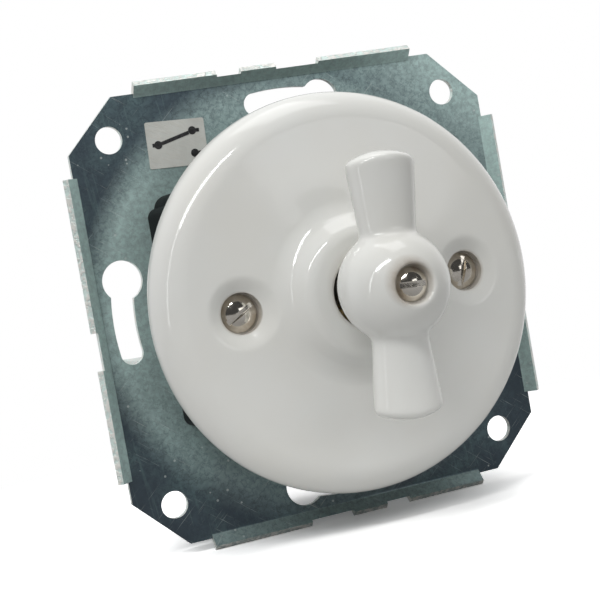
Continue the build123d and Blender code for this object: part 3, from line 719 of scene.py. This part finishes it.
def makeCover(spec):
    mesh = bmesh.new()
    corners = spec["front"] + spec["back"] + spec["boss"]
    points = [mesh.verts.new(Vector((radius, -height, 0)) * mm) for radius, height, _, _ in corners]
    edges = [mesh.edges.new((points[index - 1], point)) for index, point in enumerate(points)]
    spinRound(mesh, points + edges, spec["steps"])
    for index in range(len(corners)):
        roundRing(mesh, corners, index)
    spokes = []
    for edge in mesh.edges:
        inner, outer = sorted(math.hypot(v.co.x, v.co.z) / mm for v in edge.verts)
        if outer - inner > spec["spokeLength"] and -edge.verts[0].co.y > spec["faceHeight"] * mm:
            spokes.append(edge)
    bmesh.ops.subdivide_edges(mesh, edges=spokes, cuts=spec["rings"], use_grid_fill=True)
    for vert in mesh.verts:
        for side in (-1, 1):
            across = vert.co.x / mm - side * spec["screwAcross"]
            away = math.hypot(across, vert.co.z / mm) / spec["dishRadius"]
            if away < 1 and -vert.co.y > spec["faceHeight"] * mm:
                vert.co.y += spec["dishDepth"] * mm * (1 - away * away) ** spec["dishPower"]
    cover = addPiece(mesh, "porcelainCover", "plate", "porcelain", "cover")
    bosses, seats, holes = bmesh.new(), bmesh.new(), bmesh.new()
    seat, floor = spec["seat"]
    radius, back, front = spec["innerBoss"]
    seatPast, holePast = spec["cutterPast"]
    for side in (-1, 1):
        across = side * spec["screwAcross"]
        turnedBar(bosses, radius, back, front, across)
        turnedBar(seats, seat, floor, floor + seatPast, across, spec["seatSegments"])
        turnedBar(holes, spec["hole"], back - holePast, floor + holePast, across)
    combine(cover, bosses, "UNION")
    combine(cover, seats, "DIFFERENCE")
    combine(cover, holes, "DIFFERENCE")
    cover.data.transform(Matrix.Translation((0, 0, -spec["drop"] * mm)))
    smoothShade(cover, spec["sharpAngle"])
    return cover


cover = makeCover(coverSpec)
print("cover made,", len(cover.data.polygons), "faces")


# Knob, in mm: a bored ball hub with two flared wings, fused as one glazed body

knobSpec = {
    "centre": 32.5,
    "hub": 7.7,
    "neck": (4.4, 21.6),  # radius, back
    "recess": (2.65, 37.8),  # radius, floor
    "socket": (4.82, 33.7),  # width of the square, roof
    "screwHole": 1.65,
    "wingTurn": 3.2,
    "wingRoot": (4.0, 7.5, 6.1),  # distance from the axis, width, depth
    "wingEnd": (18.3, 10.2, 7.6),
    "dome": 9.0,
    "voxel": 0.2,
    "smoothing": 80,
    "smoothShare": 0.5,
    "cutterPast": 1.0,
    "arcSteps": 48,
    "steps": 96,
    "domeDetail": 6,
    "sharpAngle": 60,
}


def makeHub(spec):
    mesh = bmesh.new()
    neck, neckBack = spec["neck"]
    recess, recessFloor = spec["recess"]
    neckAngle, mouthAngle = math.asin(neck / spec["hub"]), math.asin(recess / spec["hub"])
    belt = mesh.verts.new(Vector((neck, spec["hub"] * math.cos(neckAngle) - spec["centre"], 0)) * mm)
    arc = bmesh.ops.spin(
        mesh,
        geom=[belt],
        cent=Vector((0, -spec["centre"], 0)) * mm,
        axis=(0, 0, -1),
        angle=math.pi - neckAngle - mouthAngle,
        steps=spec["arcSteps"],
    )
    mouth = next(item for item in arc["geom_last"] if isinstance(item, bmesh.types.BMVert))
    inner = [(recess, recessFloor), (0, recessFloor), (0, neckBack), (neck, neckBack)]
    drawLine(mesh, mouth, inner, [belt])
    spinRound(mesh, list(mesh.verts) + list(mesh.edges), spec["steps"])
    return mesh


def makeWing(spec, side):  # oval rings bridged from root to end, and the ball that domes the end
    mesh = bmesh.new()
    turn = math.radians(spec["wingTurn"]) + (0 if side > 0 else math.pi)
    way = Matrix.Translation(Vector((0, -spec["centre"], 0)) * mm) @ Matrix.Rotation(turn, 4, "Y")
    rings = []
    for distance, width, depth in (spec["wingRoot"], spec["wingEnd"]):
        place = way @ Matrix.Translation((0, 0, distance * mm))
        oval = place @ Matrix.Diagonal((width * mm / 2, depth * mm / 2, 1, 1))
        made = bmesh.ops.create_circle(mesh, cap_ends=False, segments=spec["steps"], radius=1, matrix=oval)
        rings.append(list({edge for vert in made["verts"] for edge in vert.link_edges}))
    bmesh.ops.bridge_loops(mesh, edges=rings[0] + rings[1])
    for ring in rings:
        bmesh.ops.edgeloop_fill(mesh, edges=ring)
    dome = bmesh.new()
    place = way @ Matrix.Translation((0, 0, (spec["wingEnd"][0] - spec["dome"]) * mm))
    detail, radius = spec["domeDetail"], spec["dome"] * mm
    bmesh.ops.create_icosphere(dome, subdivisions=detail, radius=radius, matrix=place)
    return mesh, dome


def makeKnob(spec):
    knob = addPiece(makeHub(spec), "porcelainKnob", "spindle", "porcelain", "knob")
    for side in (1, -1):
        mesh, dome = makeWing(spec, side)
        bmesh.ops.recalc_face_normals(mesh, faces=mesh.faces)
        wing = newObject(mesh, "wing")
        combine(wing, dome, "INTERSECT")
        mesh = bmesh.new()
        mesh.from_mesh(wing.data)
        bpy.data.objects.remove(wing)
        combine(knob, mesh, "UNION")
    even = knob.modifiers.new("even", "REMESH")
    even.mode = "VOXEL"
    even.voxel_size = spec["voxel"] * mm
    glaze = knob.modifiers.new("glaze", "SMOOTH")
    glaze.factor = spec["smoothShare"]
    glaze.iterations = spec["smoothing"]
    applyModifiers(knob)
    across, roof = spec["socket"]
    past = spec["cutterPast"]
    back, floor = spec["neck"][1] - past, spec["recess"][1] + past
    socket, hole = bmesh.new(), bmesh.new()
    size = Matrix.Diagonal((across * mm, (roof - back) * mm, across * mm, 1))
    middle = Matrix.Translation((0, -(roof + back) / 2 * mm, 0))
    bmesh.ops.create_cube(socket, size=1.0, matrix=middle @ size)
    turnedBar(hole, spec["screwHole"], roof - past, floor, 0)
    combine(knob, socket, "DIFFERENCE")
    combine(knob, hole, "DIFFERENCE")
    smoothShade(knob, spec["sharpAngle"])
    return knob


knob = makeKnob(knobSpec)
print("knob made,", len(knob.data.polygons), "faces")


# Slotted screws with domed heads, in mm

screwSpec = {
    "shank": 1.45,
    "length": 9.5,
    "slot": (0.75, 0.8),  # width, depth
    "cover": {  # the edge's height, the whole height, and places as (across, slot's turn in degrees)
        "radius": 2.7,
        "edge": 0.15,
        "height": 1.4,
        "seat": 17.0,
        "drop": 0.5,
        "places": [(-17.5, 29.5), (17.5, 73.0)],
    },
    "knob": {
        "radius": 2.3,
        "edge": 0.4,
        "height": 1.7,
        "seat": 37.8,
        "drop": 0.0,
        "places": [(0.0, -3.0)],
    },
    "edgeBreak": 0.12,
    "arcSteps": 12,
    "steps": 64,
}


def makeScrew(spec, head, across):
    mesh = bmesh.new()
    rise = head["height"] - head["edge"]
    ball = (head["radius"] ** 2 + rise**2) / (2 * rise)  # radius of the dome's sphere
    seat = head["seat"]
    top, tip = seat + head["height"], seat - spec["length"]
    crown = mesh.verts.new((0, -top * mm, 0))
    arc = bmesh.ops.spin(
        mesh,
        geom=[crown],
        cent=(0, -(top - ball) * mm, 0),
        axis=(0, 0, 1),
        angle=math.asin(head["radius"] / ball),
        steps=spec["arcSteps"],
    )
    rim = next(item for item in arc["geom_last"] if isinstance(item, bmesh.types.BMVert))
    inner = [(head["radius"], seat), (spec["shank"], seat), (spec["shank"], tip), (0, tip)]
    drawLine(mesh, rim, inner)
    spinRound(mesh, list(mesh.verts) + list(mesh.edges), spec["steps"])
    bmesh.ops.translate(mesh, verts=mesh.verts, vec=(across * mm, 0, 0))
    return mesh


def makeScrews(spec, kind, name, body, replaced):
    head = spec[kind]
    top = head["seat"] + head["height"]
    width, depth = spec["slot"]
    screws, slots = None, bmesh.new()
    for across, angle in head["places"]:
        mesh = makeScrew(spec, head, across)
        if screws:
            combine(screws, mesh, "UNION")
        else:
            screws = addPiece(mesh, name, body, "nickel", replaced)
        place = Matrix.Translation(Vector((across, -top, 0)) * mm)
        turn = Matrix.Rotation(-math.radians(angle), 4, "Y")
        size = Matrix.Diagonal((head["radius"] * 3 * mm, depth * 2 * mm, width * mm, 1))  # past the head
        bmesh.ops.create_cube(slots, size=1.0, matrix=place @ turn @ size)
    combine(screws, slots, "DIFFERENCE")
    screws.data.transform(Matrix.Translation((0, 0, -head["drop"] * mm)))
    addEdgeBreak(screws, spec["edgeBreak"])
    addSmoothing(screws)


makeScrews(screwSpec, "cover", "coverScrews", "plate", "cover_screws")
makeScrews(screwSpec, "knob", "knobScrew", "spindle", "knob_screw")
print("screws made")


# Generic changeover symbol in ink on the paper label, in mm

symbolSpec = {
    "middle": (-17.3, 25.6),
    "tilt": -2.5,
    "surface": 1.12,  # the label's front
    "ink": 0.03,
    "stroke": 0.55,
    "dots": [(-2.9, 0.0), (2.6, 1.7), (2.6, -1.7)],
    "dotRadius": 0.62,
    "dotSegments": 32,
    "lines": [
        ((-2.32, 0.17), (2.02, 1.43)),
        ((3.2, 1.7), (3.7, 1.7)),
        ((3.2, -1.7), (3.7, -1.7)),
        ((-3.8, 0.0), (-3.5, 0.0)),
    ],
}


def makeSymbol(spec):
    mesh = bmesh.new()
    upright = Matrix.Rotation(math.pi / 2, 4, "X")
    segments, radius = spec["dotSegments"], spec["dotRadius"]
    for x, z in spec["dots"]:
        place = Matrix.Translation((x, 0, z)) @ upright
        bmesh.ops.create_circle(mesh, cap_ends=True, segments=segments, radius=radius, matrix=place)
    for start, end in spec["lines"]:
        along = Vector((end[0] - start[0], end[1] - start[1]))
        middle = Matrix.Translation(((start[0] + end[0]) / 2, 0, (start[1] + end[1]) / 2))
        turn = Matrix.Rotation(-math.atan2(along.y, along.x), 4, "Y") @ upright
        size = Matrix.Diagonal((along.length, spec["stroke"], 1, 1))
        bmesh.ops.create_grid(mesh, x_segments=4, y_segments=1, size=0.5, matrix=middle @ turn @ size)
    raised = bmesh.ops.extrude_face_region(mesh, geom=list(mesh.faces))
    lifted = [item for item in raised["geom"] if isinstance(item, bmesh.types.BMVert)]
    bmesh.ops.translate(mesh, verts=lifted, vec=(0, -spec["ink"], 0))
    x, z = spec["middle"]
    place = Matrix.Translation(Vector((x, -spec["surface"], z)) * mm)
    turn = Matrix.Rotation(-math.radians(spec["tilt"]), 4, "Y")
    bmesh.ops.transform(mesh, matrix=place @ turn @ Matrix.Scale(mm, 4), verts=mesh.verts)
    addPiece(mesh, "switchSymbol", "plate", "black_moulding", material=inkMaterial)


makeSymbol(symbolSpec)
print("symbol made")


# World, floor and lamps

studioSpec = {
    "ambient": 0.61,
    "backdrop": (-0.25, 0.35),  # gloss sees the white background behind the object and a dim room before it
    "frontGloss": 0.05,
    "floorSize": 6.0,
    "floorColour": 0.75,
    "floorSeen": 1.8,  # the same floor as the camera exposes it, white where no shadow falls
    "floorAhead": (-0.012, 0.004),  # from before the plate to behind it
    "aheadShare": 0.85,
    "floorContact": (0.03, 0.046),  # behind the plate and nearer than this the contact shadow stays dark
    "floorFade": (0.06, 0.13),  # beyond these distances it melts into the white background
    "floorGloss": 0.33,
    "glossFade": (-0.05, 0.15),  # the floor before the object is dimmer in gloss, as the room there is
    "aim": (0.0, -0.02, 0.0),
    "lamps": {  # place, size, roll in degrees, watts
        "key": ((-0.38, -0.42, 0.58), (0.5, 0.08), 40, 2.6),
        "side": ((-0.6, -0.25, 0.16), (0.5, 0.02), 75, 0.25),
        "window": ((0.4, -0.87, 0.24), (0.5, 0.28), 0, 0.55),
        "top": ((0.1, 0.02, 0.8), (0.6, 0.4), 0, 1.5),
    },
}


def lightRays(tree):  # the camera's, the glossy ones, and the camera's with the transmitted ones
    rays = addNode(tree, "ShaderNodeLightPath").outputs
    camera, glossy = rays["Is Camera Ray"], rays["Is Glossy Ray"]
    return camera, glossy, mathNode(tree, "MAXIMUM", camera, rays["Is Transmission Ray"])


def makeWorld(spec):
    world = bpy.data.worlds.new("studio")
    scene.world = world
    world.use_nodes = True
    tree = world.node_tree
    sky = tree.nodes["Background"]
    sky.inputs["Color"].default_value = (1, 1, 1, 1)
    _, glossy, direct = lightRays(tree)
    way = split(tree, addNode(tree, "ShaderNodeTexCoord").outputs["Generated"])
    backdrop = mapRange(tree, way[1], *spec["backdrop"], spec["frontGloss"], 1.0)
    seen = mathNode(tree, "MAXIMUM", times(tree, glossy, backdrop), direct)
    unseen = mathNode(tree, "SUBTRACT", 1.0, mathNode(tree, "MAXIMUM", glossy, direct))
    lit = times(tree, unseen, spec["ambient"])
    tree.links.new(mathNode(tree, "ADD", seen, lit), sky.inputs["Strength"])


def makeFloorMaterial(spec):
    material, tree, shader, place = newMaterial("paleFloor", Roughness=0.9)
    shader.inputs["Specular IOR Level"].default_value = 0
    shader.inputs["Emission Color"].default_value = (1, 1, 1, 1)
    reach = lengthOf(tree, place)
    along = split(tree, place)[1]
    camera, glossy, direct = lightRays(tree)
    near = mapRange(tree, reach, *spec["floorFade"], 1.0, 0.0)
    dimmed = mapRange(tree, along, *spec["glossFade"], spec["floorGloss"], 1.0)
    mirrored = times(tree, glossy, dimmed)
    others = mathNode(tree, "ADD", mathNode(tree, "SUBTRACT", 1.0, glossy), mirrored)
    plain = times(tree, others, spec["floorColour"])
    ahead = mapRange(tree, along, *spec["floorAhead"], spec["aheadShare"], 0.0)
    clear = mathNode(tree, "MAXIMUM", ahead, mapRange(tree, reach, *spec["floorContact"]))
    exposed = times(tree, clear, spec["floorSeen"] - spec["floorColour"])
    shown = mathNode(tree, "ADD", plain, times(tree, camera, exposed))
    tone = addNode(tree, "ShaderNodeCombineColor")
    for index in range(3):
        tree.links.new(times(tree, shown, near), tone.inputs[index])
    tree.links.new(tone.outputs[0], shader.inputs["Base Color"])
    white = mathNode(tree, "MAXIMUM", mirrored, direct)
    far = mathNode(tree, "SUBTRACT", 1.0, near)
    tree.links.new(times(tree, white, far), shader.inputs["Emission Strength"])
    return material


def makeFloor(spec):
    mesh = bmesh.new()
    lowest = Matrix.Translation((0, 0, cadBounds[0][2]))
    bmesh.ops.create_grid(mesh, x_segments=8, y_segments=8, size=spec["floorSize"] / 2, matrix=lowest)
    floor = newObject(mesh, "floor")
    floor.data.materials.append(makeFloorMaterial(spec))


def makeLamps(spec):
    for name, (place, size, roll, watts) in spec["lamps"].items():
        light = bpy.data.lights.new(name, "AREA")
        light.shape = "RECTANGLE"
        light.size, light.size_y = size
        light.energy = watts
        lamp = bpy.data.objects.new(name, light)
        aim = (Vector(spec["aim"]) - Vector(place)).to_track_quat("-Z", "Y")
        turn = aim.to_matrix().to_4x4() @ Matrix.Rotation(math.radians(roll), 4, "Z")
        lamp.matrix_world = Matrix.Translation(place) @ turn
        scene.collection.objects.link(lamp)


makeWorld(studioSpec)
makeFloor(studioSpec)
makeLamps(studioSpec)
scene.view_settings.view_transform = "Standard"
print("studio made")
